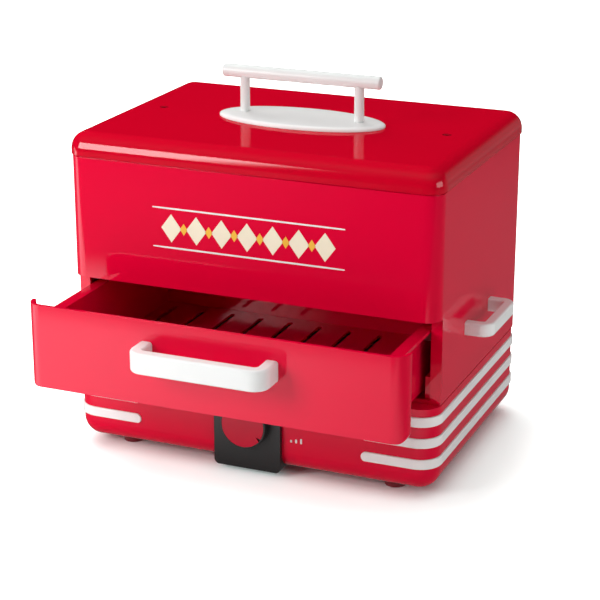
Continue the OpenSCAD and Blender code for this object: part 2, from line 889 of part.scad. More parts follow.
// Four walls of the housing with the drawer bay, the ledge and the corner posts
module housing() {
    color(red)
        difference() {
            union() {
                difference() {
                    translate([0, 0, rim_z])
                        rounded_ring(body_w, body_d, housing_h, housing_corner_r, housing_wall);
                    translate([-side_x - 1, front_y - 1, rim_z - 1])
                        cube([body_w + 2, bay_setback + 1, bay_h + 1]);
                }
                // jambs
                for (s = [-1, 1])
                    translate([s > 0 ? jamb_x : -side_x, jamb_y, rim_z])
                        cube([jamb_w, housing_wall, bay_h + housing_wall]);
                // threshold
                translate([-side_x + 1, jamb_y, rim_z])
                    cube([body_w - 2, housing_wall, threshold_h]);
                // ledge under the bread tray
                translate([0, 0, panel_z])
                    difference() {
                        rounded_prism(body_w - housing_wall, body_d - housing_wall, housing_wall,
                            housing_corner_r - housing_wall / 2);
                        translate([0, (bay_setback - housing_wall) / 2, -1])
                            rounded_prism(body_w - 2 * housing_wall - 2 * ledge_w,
                                body_d - housing_wall - bay_setback - 2 * ledge_w,
                                housing_wall + 2, tray_corner_r);
                    }
                // posts, joined to the side walls
                for (s = [0, 1], y = [post_front_y, post_rear_y])
                    mirror([s, 0, 0])
                        translate([post_x - post_r, y - post_r, rim_z])
                            cube([inner_x - post_x + post_r + 1, 2 * post_r, post_h]);
            }
            at_posts()
                translate([0, 0, rim_z - 1])
                    cylinder(r = screw_r + fit, h = 1 + screw_grip + screw_spare);
            for (s = [-1, 1], t = [-1, 1])
                rod_x(s * side_x - 5, s * side_x + 5, t * sh_screw_y - sh_front, sh_axis_z, screw_r + fit);
            // shadow steps along the seams
            for (z = [rim_z - 1, seam_z - shadow_h])
                translate([0, 0, z])
                    rounded_ring(body_w + 2, body_d + 2, shadow_h + 1, housing_corner_r + 1, shadow_d + 1);
        }
}

// Strip on the housing's side that the drawer's flange slides on
module runner(side) {
    color(dark_red)
        translate([side > 0 ? runner_in_x : -inner_x, jamb_back_y, runner_z])
            cube([inner_x - runner_in_x, rear_y - housing_corner_r - jamb_back_y, runner_h]);
}

module runner_left() {
    runner(-1);
}

module runner_right() {
    runner(1);
}

// Slotted tray in the upper chamber, on the ledge
module bread_tray() {
    color(steel)
        translate([0, 0, panel_z + housing_wall])
            linear_extrude(bread_t)
                difference() {
                    rounded_rect(bread_w, bread_d, bread_r);
                    slot_rows(bread_w - 2 * bread_margin, bread_d - bread_margin);
                }
}

// A bow handle: one rounded section swept down a leg, round a corner, along the bar and back.
// Its legs stand on Y = 0, its bar lies at Y = -d and each leg has a pilot hole.
module bow_handle(w, d, t, h, corner_r, edge_r, hole_x) {
    difference() {
        union() {
            for (s = [-1, 1]) {
                translate([s * (w - t) / 2, 0, 0])
                    rotate([90, 0, 0])
                        linear_extrude(d - corner_r)
                            rounded_rect(t, h, edge_r);
                translate([s * (w / 2 - corner_r), corner_r - d, 0])
                    rotate([0, 0, s > 0 ? -90 : 180])
                        rotate_extrude(angle = 90)
                            translate([corner_r - t / 2, 0])
                                rounded_rect(t, h, edge_r);
            }
            translate([0, t / 2 - d, 0])
                rotate([90, 0, 90])
                    linear_extrude(w - 2 * corner_r, center = true)
                        rounded_rect(t, h, edge_r);
        }
        for (s = [-1, 1])
            rod_y(s * hole_x, t + 2 - d, 1, 0, screw_r + fit);
    }
}

module side_handle(side) {
    color(white)
        translate([side * side_x, -sh_front, sh_axis_z])
            rotate([0, 0, side * 90])
                bow_handle(sh_l, sh_d, sh_t, sh_h, sh_corner_r, sh_edge_r, sh_screw_y);
}

module side_handle_left() {
    side_handle(-1);
}

module side_handle_right() {
    side_handle(1);
}

// Screws from inside the housing into the side handles
module side_handle_screws() {
    color(steel)
        for (s = [-1, 1], t = [-1, 1])
            translate([s * (inner_x - screw_head_h), t * sh_screw_y - sh_front, sh_axis_z])
                rotate([0, s * 90, 0])
                    screw_up(housing_wall + sh_d - sh_t - grip_left);
}

// Plan of the drawer's front: a straight face with rounded ends wrapped back
module front_plan(w, d, r) {
    intersection() {
        translate([0, 2 * d])
            rounded_rect(w, 4 * d, r);
        translate([-w / 2, 0])
            square([w, d]);
    }
}

// Front view of the drawer's front: square above, rounded corners below
module front_view(w, h, r) {
    translate([-w / 2, r])
        square([w, h - r]);
    translate([-w / 2 + r, 0])
        square([w - 2 * r, h]);
    for (s = [-1, 1])
        translate([s * (w / 2 - r), r])
            circle(r);
}

// The solid where the plan and the front view meet
module front_form(w, d, h, corner_r, low_r) {
    intersection() {
        linear_extrude(h)
            front_plan(w, d, corner_r);
        translate([0, d + 1, 0])
            rotate([90, 0, 0])
                linear_extrude(d + 2)
                    front_view(w, h, low_r);
    }
}

// Wrapped shell of the drawer's front, open behind, above and below
module drawer_front() {
    color(red)
        translate([0, drawer_y, front_z])
            difference() {
                front_form(front_w, front_depth, front_h, front_corner_r, front_low_r);
                translate([0, front_wall, -1])
                    linear_extrude(front_h + 2)
                        front_plan(front_w - 2 * front_wall, front_depth, front_corner_r - front_wall);
                for (s = [-1, 1])
                    rod_y(s * dh_screw_x, -1, front_wall + 1, dh_axis_z - front_z, screw_r + fit);
            }
}

// Side and rear walls of the food tray behind the front, with a flanged rim and stop lugs
module drawer_tray() {
    color(red)
        difference() {
            union() {
                translate([0, tray_y, floor_top_z])
                    linear_extrude(rim_top_z - floor_top_z)
                        tray_plan(tray_outer_w, tray_l, tray_corner_r);
                translate([-tray_outer_w / 2 - flange_w, tray_y, rim_top_z - flange_t])
                    cube([tray_outer_w + 2 * flange_w, tray_l + flange_w, flange_t]);
                for (s = [-1, 1])
                    translate([s > 0 ? 0 : -lug_x, lug_y, rim_top_z - flange_t])
                        cube([lug_x, lug_l, flange_t]);
            }
            translate([0, tray_y - 1, floor_top_z - 1])
                linear_extrude(rim_top_z - floor_top_z + 2)
                    tray_plan(tray_w, tray_l - tray_wall + 1, tray_corner_r - tray_wall);
        }
}

// Slotted floor under the food tray's walls
module drawer_floor() {
    color(red)
        translate([0, tray_y, tray_z])
            linear_extrude(tray_wall)
                difference() {
                    tray_plan(tray_outer_w, tray_l, tray_corner_r);
                    translate([0, tray_l / 2])
                        slot_rows(tray_w, tray_l - 2 * tray_wall);
                }
}

module drawer_handle() {
    color(white)
        translate([0, drawer_y, dh_axis_z])
            bow_handle(dh_w, dh_d, dh_t, dh_h, dh_corner_r, dh_edge_r, dh_screw_x);
}

// Screws from inside the drawer through its front into the handle
module drawer_screws() {
    color(steel)
        for (s = [-1, 1])
            translate([s * dh_screw_x, drawer_y + front_wall + screw_head_h, dh_axis_z])
                rotate([90, 0, 0])
                    screw_up(front_wall + dh_d - dh_t - grip_left);
}

// Lid shell with its locating lip, vents and screw holes
module lid() {
    color(red)
        difference() {
            union() {
                difference() {
                    translate([0, 0, lid_z])
                        domed_block(body_w + 2 * lid_over, body_d + 2 * lid_over,
                            lid_h - seam_gap, lid_corner_r, lid_edge_r);
                    translate([0, 0, lid_z - 1])
                        domed_block(body_w + 2 * lid_over - 2 * lid_wall,
                            body_d + 2 * lid_over - 2 * lid_wall,
                            lid_h - seam_gap - lid_wall + 1, lid_corner_r - lid_wall, lid_edge_r - lid_wall);
                }
                translate([0, 0, lid_z])
                    rounded_ring(body_w, body_d, lip_t, housing_corner_r,
                        housing_wall + lip_gap + lip_t);
                translate([0, 0, seam_z - lip_d])
                    rounded_ring(body_w - 2 * housing_wall - 2 * lip_gap,
                        body_d - 2 * housing_wall - 2 * lip_gap, lip_d + seam_gap + lip_t,
                        housing_corner_r - housing_wall - lip_gap, lip_t);
            }
            for (s = [-1, 1]) {
                translate([s * vent_x, 0, lid_top_z - lid_wall - 1])
                    cylinder(r = vent_r, h = lid_wall + 2);
                translate([s * post_span / 2, 0, lid_top_z - lid_wall - 1])
                    cylinder(r = screw_r + fit, h = lid_wall + 2);
            }
        }
}

// An oval of four tangent arcs
module oval(a, b, end_r) {
    side_r = (pow(a - end_r, 2) + b * b - end_r * end_r) / (2 * (b - end_r));
    join_x = (a - end_r) * (1 + end_r / (side_r - end_r));
    intersection() {
        translate([0, side_r - b])
            circle(side_r, $fn = 200);
        translate([0, b - side_r])
            circle(side_r, $fn = 200);
        square([2 * join_x, 2 * b], center = true);
    }
    for (s = [-1, 1])
        translate([s * (a - end_r), 0])
            circle(end_r);
}

// White oval plate on the lid with a stepped edge
module lid_oval() {
    color(white)
        translate([0, 0, lid_top_z])
            difference() {
                union() {
                    linear_extrude(oval_t - oval_step)
                        oval(oval_l / 2, oval_w / 2, oval_end_r);
                    linear_extrude(oval_t)
                        oval(oval_l / 2 - oval_step, oval_w / 2 - oval_step, oval_end_r - oval_step);
                }
                for (s = [-1, 1])
                    translate([s * post_span / 2, 0, -1])
                        cylinder(r = screw_r + fit, h = oval_t + 2);
            }
}

// Two posts with pilot holes below, cupped round the bar above
module lid_posts() {
    color(white)
        difference() {
            for (s = [-1, 1])
                translate([s * post_span / 2, 0, oval_z])
                    cylinder(r = post_bar_r, h = bar_axis_z - oval_z);
            rod_x(-bar_l, bar_l, 0, bar_axis_z, bar_r + fit / 2);
            for (s = [-1, 1])
                translate([s * post_span / 2, 0, oval_z - 1])
                    cylinder(r = screw_r + fit, h = 1 + screw_grip + screw_spare);
        }
}

// Round bar with eased ends
module lid_bar() {
    color(white)
        translate([-bar_l / 2, 0, bar_axis_z])
            rotate([0, 90, 0])
                rotate_extrude()
                    intersection() {
                        union() {
                            translate([0, bar_edge_r])
                                square([bar_r, bar_l - 2 * bar_edge_r]);
                            square([bar_r - bar_edge_r, bar_l]);
                            for (z = [bar_edge_r, bar_l - bar_edge_r])
                                translate([bar_r - bar_edge_r, z])
                                    circle(bar_edge_r);
                        }
                        square([bar_r, bar_l]);
                    }
}

// Screws from under the lid through the oval plate into the posts
module lid_screws() {
    color(steel)
        for (s = [-1, 1])
            translate([s * post_span / 2, 0, lid_top_z - lid_wall - screw_head_h])
                screw_up(lid_wall + oval_t + screw_grip);
}

// Set a piece of the body in the object's own frame
module placed() {
    translate([0, place_y, 0])
        children();
}

placed() base_shell();
placed() base_deck();
placed() feet();
placed() base_screws();
placed() housing_screws();
placed() stripe_upper();
placed() stripe_middle();
placed() stripe_lower();
placed() cord_gland();
placed() dial_plate();
placed() thermostat();
placed() knob();
placed() knob_face();
placed() knob_shaft();
placed() water_tank();
placed() tank_seal();
placed() heating_ring();
placed() thermal_cutout();
placed() terminal_block();
placed() steam_plate();
placed() housing();
placed() runner_left();
placed() runner_right();
placed() bread_tray();
placed() side_handle_left();
placed() side_handle_right();
placed() side_handle_screws();
placed() drawer_front();
placed() drawer_tray();
placed() drawer_floor();
placed() drawer_handle();
placed() drawer_screws();
placed() lid();
placed() lid_oval();
placed() lid_posts();
placed() lid_bar();
placed() lid_screws();
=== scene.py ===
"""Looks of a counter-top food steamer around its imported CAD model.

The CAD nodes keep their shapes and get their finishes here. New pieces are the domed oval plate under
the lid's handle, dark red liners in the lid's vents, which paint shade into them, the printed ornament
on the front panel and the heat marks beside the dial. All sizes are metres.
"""

import math

import bmesh
import bpy
import numpy as np
from mathutils import Matrix, Vector


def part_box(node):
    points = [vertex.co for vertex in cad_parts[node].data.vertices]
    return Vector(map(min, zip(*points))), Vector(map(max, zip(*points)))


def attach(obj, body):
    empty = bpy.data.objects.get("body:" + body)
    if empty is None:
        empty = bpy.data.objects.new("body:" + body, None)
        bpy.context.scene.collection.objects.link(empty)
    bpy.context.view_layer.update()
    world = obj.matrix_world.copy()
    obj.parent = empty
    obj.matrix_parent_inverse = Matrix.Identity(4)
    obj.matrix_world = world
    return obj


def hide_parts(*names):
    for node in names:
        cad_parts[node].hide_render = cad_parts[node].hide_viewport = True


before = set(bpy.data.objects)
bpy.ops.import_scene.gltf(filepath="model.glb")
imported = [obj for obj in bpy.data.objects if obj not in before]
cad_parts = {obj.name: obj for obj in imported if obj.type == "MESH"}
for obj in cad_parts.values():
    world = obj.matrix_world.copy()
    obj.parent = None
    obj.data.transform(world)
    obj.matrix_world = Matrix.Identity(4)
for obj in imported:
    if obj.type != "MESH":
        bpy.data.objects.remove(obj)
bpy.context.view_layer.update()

bl_info = {
    "name": "Food steamer builder",
    "version": (1, 0, 0),
    "blender": (4, 5, 0),
    "location": "3D View > Sidebar > Steamer",
    "description": "Finishes, trim and studio for a counter-top food steamer",
    "category": "Object",
}

MM = 0.001

LID_LOW, LID_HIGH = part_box("lid")
OVAL_LOW, OVAL_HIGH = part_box("lid_oval")
POST_LOW, POST_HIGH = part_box("lid_posts")
PANEL_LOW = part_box("housing")[0]
BASE_LOW, BASE_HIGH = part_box("base_shell")

RED_NODES = ("base_shell", "base_deck", "housing", "drawer_front", "drawer_tray", "drawer_floor")
WHITE_NODES = ("drawer_handle", "lid_posts", "lid_bar")
BAND_NODES = ("stripe_upper", "stripe_middle", "stripe_lower", "side_handle_left", "side_handle_right")
BLACK_NODES = ("dial_plate", "knob", "cord_gland")
SCREW_NODES = ("base_screws", "housing_screws", "side_handle_screws", "drawer_screws", "lid_screws")

# Points of a new mesh closer than the first are merged, and edges shorter than the second are dissolved
MERGE_DISTANCE = 1e-7
SLIVER_LENGTH = 1e-8

# Print: powers of the outlines, lozenges as shares of their pitch and of the rules' gap, and heat marks
RULE_POWER = 8
LOZENGE_POWER = 1.0
MARK_POWER = 6
LOZENGE_WIDTH = 0.40
LOZENGE_HEIGHT = 0.36
POINT_SIZE = 0.15
ORNAMENT_MARGIN = 0.5
MARK_COUNT = 3
MARK_LEAST_STEPS = 2
MARK_STEP = 1.0 * MM
MARK_HALF_W = 0.75 * MM

# Depth of the vent liners' lips below the lid's top; the liners are a dark piece that paints shade into the
# vents
VENT_SINK = 0.1 * MM

# Finishes: finer patches per broad one, stretch of a metal's lines, least roughness, and the lid's coat,
# which fades out between two heights of the normal
BLOOM_SCALE = 4.3
LINE_STRETCH = 0.02
PLASTIC_LEAST = 0.02
METAL_LEAST = 0.05
PLASTIC_IOR = 1.46
EDGE_SAMPLES = 6
COAT_FADE = (0.55, 0.88)

# Camera and lamps: the sensor's width in millimetres, places, widths and heights, and where the key fades
# out, in shares of its width
SENSOR_WIDTH = 36
LAMP_AIM = (0, 0.03, 0.13)
KEY_PLACE = (-0.66, -0.92, 0.60)
KEY_SIZE = (0.62, 0.64)
KEY_FADE = (0.74, 0.99)
FILL_PLACE = (2.0, -0.3, 0.5)
FILL_SIZE = (1.5, 0.9)
REAR_PLACE = (-1.1, 1.2, 1.9)
REAR_SIZE = (2.2, 2.2)
TOP_PLACE = (-0.1, 0.1, 2.2)
TOP_SIZE = (3.0, 3.0)

# Floor: the inset of the oblong that distances are measured from, and the distances over which the floor's
# own light comes up
BASE_INSET = 30 * MM
SHADOW_EDGE = (0.012, 0.045)
SHADOW_FADE = (0.04, 0.13)
FLOOR_BLUE = 0.97
FLOOR_ROUGHNESS = 0.9
FLOOR_SPECULAR = 0.1

# Reflection card: spans along X, Y and outwards over which its brightness changes
CARD_HEIGHT = 0.2 * MM
CARD_FADE = (0.55, 1.4)
CARD_FAR_LEVEL = 0.02
CARD_FRONT_Y = (-0.56, -0.42)
CARD_FRONT_X = (-0.42, -0.08)
CARD_FRONT_GAIN = (0.7, -0.95)
STRIP_FRONT_Y = (-0.50, -0.41)
STRIP_REAR_Y = (-0.24, -0.06)
STRIP_X = (-0.30, 0.12)
STRIP_RIGHT_SHARE = 0.35
STRIP_END_X = (0.20, 0.45)
WALL_FOOT = (0.2, 0.9)

# World: spans of a direction's parts over which the mirrored wall begins and ends
ZENITH_POWER = 4.0
WALL_TOP_Z = (0.14, 0.34)
WALL_LEFT_X = (0.0, 0.3)
WALL_FRONT_Y = (0.2, 0.6)


# Properties


class SteamerFinishes(bpy.types.PropertyGroup):
    """Colours and gloss of the mouldings, the metal and the print."""

    red: bpy.props.FloatVectorProperty(
        name="Red plastic", description="Colour of the glossy red mouldings",
        subtype="COLOR", size=3, min=0, max=1, default=(0.70, 0.0009, 0.033))
    # The lid is the same red plastic as the other mouldings. Its deeper red here is painted shade that
    # darkens the lid's top.
    lid_shaded_red: bpy.props.FloatVectorProperty(
        name="Lid red", description="Colour of the lid, a little deeper than the mouldings under it",
        subtype="COLOR", size=3, min=0, max=1, default=(0.565, 0.0007, 0.0165))
    # The knob's face is the same red plastic. Its deeper red here is painted shade for the shadow of the
    # drawer above it.
    knob_shaded_red: bpy.props.FloatVectorProperty(
        name="Knob red", description="Colour of the knob's face, a little deeper than the mouldings",
        subtype="COLOR", size=3, min=0, max=1, default=(0.50, 0.0008, 0.024))
    # The vent liners are a dark piece that paints shade into the steam vents, and their deep red is painted
    # shade.
    vent_shade_red: bpy.props.FloatVectorProperty(
        name="Vent red", description="Colour of the deep red liners in the steam vents",
        subtype="COLOR", size=3, min=0, max=1, default=(0.34, 0.001, 0.012))
    red_sheen: bpy.props.FloatVectorProperty(
        name="Red sheen", description="Colour of what the red mouldings mirror",
        subtype="COLOR", size=3, min=0, max=1, default=(1.0, 0.55, 0.60))
    red_gloss: bpy.props.FloatProperty(
        name="Red roughness", description="Roughness of the red mouldings",
        subtype="FACTOR", min=0, max=1, default=0.06)
    lid_gloss: bpy.props.FloatProperty(
        name="Lid roughness", description="Roughness of the lid, its vent liners and the knob's face",
        subtype="FACTOR", min=0, max=1, default=0.08)
    lid_specular: bpy.props.FloatProperty(
        name="Lid specular", description="How much the lid's level top mirrors",
        subtype="FACTOR", min=0, max=1, default=0.025)
    # Trim white and band white are one white plastic in two copies. The trim's darker, slightly less red
    # white is painted shade against the strong key light and the red light cast on the handles. The bands'
    # lighter white is painted light on the dim right side and on the oval plate.
    white: bpy.props.FloatVectorProperty(
        name="White plastic",
        description="Colour of the drawer's and the lid's handles and of the white print",
        subtype="COLOR", size=3, min=0, max=1, default=(0.785, 0.80, 0.79))
    band: bpy.props.FloatVectorProperty(
        name="Band plastic", description="Colour of the base's bands, the side handles and the oval plate",
        subtype="COLOR", size=3, min=0, max=1, default=(0.87, 0.87, 0.86))
    white_gloss: bpy.props.FloatProperty(
        name="White roughness", description="Roughness of the white bands, handles and oval plate",
        subtype="FACTOR", min=0, max=1, default=0.24)
    black: bpy.props.FloatVectorProperty(
        name="Black plastic", description="Colour of the satin black dial plate and knob",
        subtype="COLOR", size=3, min=0, max=1, default=(0.014, 0.0115, 0.0115))
    black_gloss: bpy.props.FloatProperty(
        name="Black roughness", description="Roughness of the dial plate and knob",
        subtype="FACTOR", min=0, max=1, default=0.42)
    runner: bpy.props.FloatVectorProperty(
        name="Runner plastic", description="Colour of the drawer's runners",
        subtype="COLOR", size=3, min=0, max=1, default=(0.10, 0.004, 0.010))
    foot: bpy.props.FloatVectorProperty(
        name="Foot rubber", description="Colour of the feet",
        subtype="COLOR", size=3, min=0, max=1, default=(0.20, 0.008, 0.016))
    seal: bpy.props.FloatVectorProperty(
        name="Seal rubber", description="Colour of the tank's seal",
        subtype="COLOR", size=3, min=0, max=1, default=(0.025, 0.025, 0.026))
    steel: bpy.props.FloatVectorProperty(
        name="Tank steel", description="Colour of the pressed tank and the steam plate",
        subtype="COLOR", size=3, min=0, max=1, default=(0.60, 0.60, 0.59))
    aluminium: bpy.props.FloatVectorProperty(
        name="Tray aluminium", description="Colour of the slotted bread tray",
        subtype="COLOR", size=3, min=0, max=1, default=(0.78, 0.79, 0.80))
    heater: bpy.props.FloatVectorProperty(
        name="Heater metal", description="Colour of the heating ring",
        subtype="COLOR", size=3, min=0, max=1, default=(0.16, 0.15, 0.15))
    plated: bpy.props.FloatVectorProperty(
        name="Plated metal", description="Colour of the thermostat, the cut-out, the shaft and the screws",
        subtype="COLOR", size=3, min=0, max=1, default=(0.66, 0.66, 0.64))
    terminal: bpy.props.FloatVectorProperty(
        name="Terminal plastic", description="Colour of the terminal block",
        subtype="COLOR", size=3, min=0, max=1, default=(0.74, 0.72, 0.66))
    cream: bpy.props.FloatVectorProperty(
        name="Cream print", description="Cream ink of the front ornament",
        subtype="COLOR", size=3, min=0, max=1, default=(0.86, 0.78, 0.60))
    gold: bpy.props.FloatVectorProperty(
        name="Gold print", description="Gold ink of the front ornament",
        subtype="COLOR", size=3, min=0, max=1, default=(0.86, 0.47, 0.03))


class SteamerSizes(bpy.types.PropertyGroup):
    """Sizes of the pieces that are made here."""

    edge_soften: bpy.props.FloatProperty(
        name="Edge softness", description="Radius at which the mouldings' edges catch the light",
        unit="LENGTH", default=0.3 * MM, precision=5)
    oval_wall: bpy.props.FloatProperty(
        name="Oval wall", description="Height of the oval plate's upright rim",
        unit="LENGTH", default=0.9 * MM, precision=5)
    oval_round: bpy.props.FloatProperty(
        name="Oval rounding", description="Width of the rounding round the oval plate",
        unit="LENGTH", default=3.2 * MM, precision=5)
    oval_crown: bpy.props.FloatProperty(
        name="Oval crown", description="Rise of the oval plate from its rounding to its middle",
        unit="LENGTH", default=0.7 * MM, precision=5)
    ink: bpy.props.FloatProperty(
        name="Ink thickness", description="How far print stands off the surface under it",
        unit="LENGTH", default=0.12 * MM, precision=5)
    ornament_z: bpy.props.FloatProperty(
        name="Ornament height", description="Height of the front ornament's middle above the table",
        unit="LENGTH", default=184.4 * MM)
    ornament_w: bpy.props.FloatProperty(
        name="Ornament width", description="Length of the ornament's rules",
        unit="LENGTH", default=152 * MM)
    ornament_gap: bpy.props.FloatProperty(
        name="Ornament gap", description="Distance between the ornament's rules",
        unit="LENGTH", default=30 * MM)
    rule_h: bpy.props.FloatProperty(
        name="Rule height", description="Height of an ornament's rule",
        unit="LENGTH", default=1.3 * MM, precision=5)
    lozenge_count: bpy.props.IntProperty(
        name="Lozenges", description="Number of large lozenges between the rules",
        min=3, max=15, default=7)
    mark_x: bpy.props.FloatProperty(
        name="Mark place", description="Distance of the heat marks from the middle of the base",
        unit="LENGTH", default=34.5 * MM)
    mark_z: bpy.props.FloatProperty(
        name="Mark height", description="Height of the heat marks' foot above the table",
        unit="LENGTH", default=29.5 * MM)
    mark_pitch: bpy.props.FloatProperty(
        name="Mark pitch", description="Distance between the heat marks",
        unit="LENGTH", default=4.0 * MM, precision=5)
    # Sizes of the vent liners, a dark piece that paints shade into the steam vents.
    vent_x: bpy.props.FloatProperty(
        name="Vent place", description="Distance of a steam vent from the middle of the lid",
        unit="LENGTH", default=116 * MM)
    vent_r: bpy.props.FloatProperty(
        name="Vent radius", description="Outer radius of the liner in a steam vent",
        unit="LENGTH", default=3.35 * MM, precision=5)
    vent_wall: bpy.props.FloatProperty(
        name="Vent wall", description="Wall of the liner in a steam vent",
        unit="LENGTH", default=1.3 * MM, precision=5)
    vent_depth: bpy.props.FloatProperty(
        name="Vent depth", description="Length of the liner in a steam vent",
        unit="LENGTH", default=3.2 * MM, precision=5)


class SteamerStudio(bpy.types.PropertyGroup):
    """Camera, lamps, world and floor."""

    azimuth: bpy.props.FloatProperty(
        name="Azimuth", description="Camera's turn round the object, from the front towards its right side",
        subtype="ANGLE", unit="ROTATION", default=math.radians(22.61))
    elevation: bpy.props.FloatProperty(
        name="Elevation", description="Camera's angle above the table",
        subtype="ANGLE", unit="ROTATION", default=math.radians(19.09))
    roll: bpy.props.FloatProperty(
        name="Roll", description="Camera's turn about its own axis",
        subtype="ANGLE", unit="ROTATION", default=math.radians(0.04))
    distance: bpy.props.FloatProperty(
        name="Distance", description="Camera's distance from the point that it looks at",
        unit="LENGTH", default=1.44702)
    target: bpy.props.FloatVectorProperty(
        name="Target", description="Point that the camera looks at",
        subtype="TRANSLATION", unit="LENGTH", size=3, default=(-0.00113, 0.045, 0.10396))
    lens: bpy.props.FloatProperty(
        name="Lens", description="Focal length in millimetres on a sensor 36 wide", default=110.599)
    key_power: bpy.props.FloatProperty(
        name="Key", description="Power of the large soft lamp in front, to the left",
        unit="POWER", default=13.3)
    fill_power: bpy.props.FloatProperty(
        name="Fill", description="Power of the soft lamp to the right", unit="POWER", default=14)
    rear_power: bpy.props.FloatProperty(
        name="Rear", description="Power of the large soft lamp behind, up to the left",
        unit="POWER", default=44)
    top_power: bpy.props.FloatProperty(
        name="Top", description="Power of the soft lamp overhead", unit="POWER", default=17)
    horizon: bpy.props.FloatProperty(
        name="Horizon", description="Brightness of the world at the horizon", min=0, default=0.003)
    zenith: bpy.props.FloatProperty(
        name="Zenith", description="Brightness of the world overhead", min=0, default=0.50)
    floor: bpy.props.FloatVectorProperty(
        name="Floor", description="Colour of the plain floor",
        subtype="COLOR", size=3, min=0, max=1, default=(0.88, 0.88, 0.88))
    floor_lift: bpy.props.FloatProperty(
        name="Floor lift", description="Light that the floor adds where it is seen, so that it shows white",
        min=0, default=0.45)
    floor_balance: bpy.props.FloatProperty(
        name="Floor balance",
        description="Red share of the floor's own light, against the red cast by the mouldings",
        min=0, max=1, default=0.84)
    card_level: bpy.props.FloatProperty(
        name="Card", description="Brightness of the grey card that the upright faces mirror",
        min=0, default=0.175)
    wall_level: bpy.props.FloatProperty(
        name="Wall",
        description="Brightness of the low grey wall at the rear right that the lid's edge mirrors",
        min=0, default=0.19)
    strip_level: bpy.props.FloatProperty(
        name="Strip", description="Brightness of the white strip that the drawer's front mirrors",
        min=0, default=3.6)
    floor_size: bpy.props.FloatProperty(
        name="Floor size", description="Width of the floor", unit="LENGTH", default=40)


# Meshes


def grid_faces(rows, columns):
    """Quads of a grid whose last column joins its first: row r and column c meet r + 1 and c + 1."""
    row, column = np.meshgrid(np.arange(rows - 1), np.arange(columns), indexing="ij")
    after = (column + 1) % columns
    quads = np.stack([row * columns + column, row * columns + after,
                      (row + 1) * columns + after, (row + 1) * columns + column], axis=-1)
    return quads.reshape(-1, 4)


def shell(rings):
    """Points and quads of a closed form given as rings (rows, columns, 3). Its first and last rows are
    poles, or one and the same ring."""
    return rings.reshape(-1, 3), grid_faces(*rings.shape[:2])


def joined(shells):
    """Several forms as one set of points and quads."""
    points, quads, start = [], [], 0
    for part_points, part_quads in shells:
        points.append(part_points)
        quads.append(part_quads + start)
        start += len(part_points)
    return np.concatenate(points), np.concatenate(quads)


def piece(name, points, quads, material, body, slot, crease=math.radians(40)):
    """A mesh object of the points and quads, doubles merged, faces turned outwards, riding on a body."""
    mesh = bpy.data.meshes.new(name)
    mesh.from_pydata(points.tolist(), [], quads.tolist())
    work = bmesh.new()
    work.from_mesh(mesh)
    bmesh.ops.remove_doubles(work, verts=work.verts, dist=MERGE_DISTANCE)
    bmesh.ops.dissolve_degenerate(work, edges=work.edges, dist=SLIVER_LENGTH)
    bmesh.ops.recalc_face_normals(work, faces=work.faces)
    work.to_mesh(mesh)
    work.free()
    mesh.shade_smooth()
    mesh.set_sharp_from_angle(angle=crease)
    mesh.materials.append(material)
    made = bpy.data.objects.new(name, mesh)
    bpy.context.scene.collection.objects.link(made)
    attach(made, body)
    return made


def oval_plate_form(sizes, around=192, over=14, across=24):
    """An ellipse drawn in towards its middle as it rises: an upright rim, then a quarter of an ellipse whose
    width is the rounding, then a crown that rises by one minus the square of the distance from the middle."""
    centre = (OVAL_LOW + OVAL_HIGH) / 2
    half_l, half_w = (OVAL_HIGH.x - OVAL_LOW.x) / 2, (OVAL_HIGH.y - OVAL_LOW.y) / 2
    seat = OVAL_LOW.z
    post_share = (POST_HIGH.x - POST_LOW.x) / 2 / half_l
    top = POST_LOW.z - seat + sizes.oval_crown * post_share ** 2
    shoulder = top - sizes.oval_crown
    turn = np.linspace(0, np.pi / 2, over)
    inset = sizes.oval_round * (1 - np.cos(turn))
    rise = sizes.oval_wall + (shoulder - sizes.oval_wall) * np.sin(turn)
    left = 1 - np.linspace(0, 1, across)[1:]
    inner = 1 - sizes.oval_round / half_w
    share = np.concatenate([[0, 1], 1 - inset / half_w, inner * left])
    height = np.concatenate([[0, 0], rise, shoulder + sizes.oval_crown * (1 - left ** 2)])
    angle = np.linspace(0, 2 * np.pi, around, endpoint=False)
    x = centre.x + half_l * np.outer(share, np.cos(angle))
    y = centre.y + half_w * np.outer(share, np.sin(angle))
    z = np.broadcast_to((seat + height)[:, None], x.shape)
    return shell(np.stack([x, y, z], axis=-1))


# Form of the vent liners, a dark piece that paints shade into the steam vents.
def vent_shade_form(x, y, top, sizes, around=48, corner=8):
    """A tube with rounded lips: a thin oblong whose ends are half circles, carried round an upright axis."""
    half = sizes.vent_wall / 2
    straight = sizes.vent_depth - sizes.vent_wall
    turn = np.linspace(0, np.pi, corner)
    across = np.concatenate([half * np.cos(turn), -half * np.cos(turn)])
    up = np.concatenate([half * np.sin(turn), -half * np.sin(turn) - straight]) - half
    radius, height = (np.append(row, row[0]) for row in (sizes.vent_r - half + across, top + up))
    angle = np.linspace(0, 2 * np.pi, around, endpoint=False)
    return shell(np.stack([x + np.outer(radius, np.cos(angle)), y + np.outer(radius, np.sin(angle)),
                           np.broadcast_to(height[:, None], (len(height), around))], axis=-1))


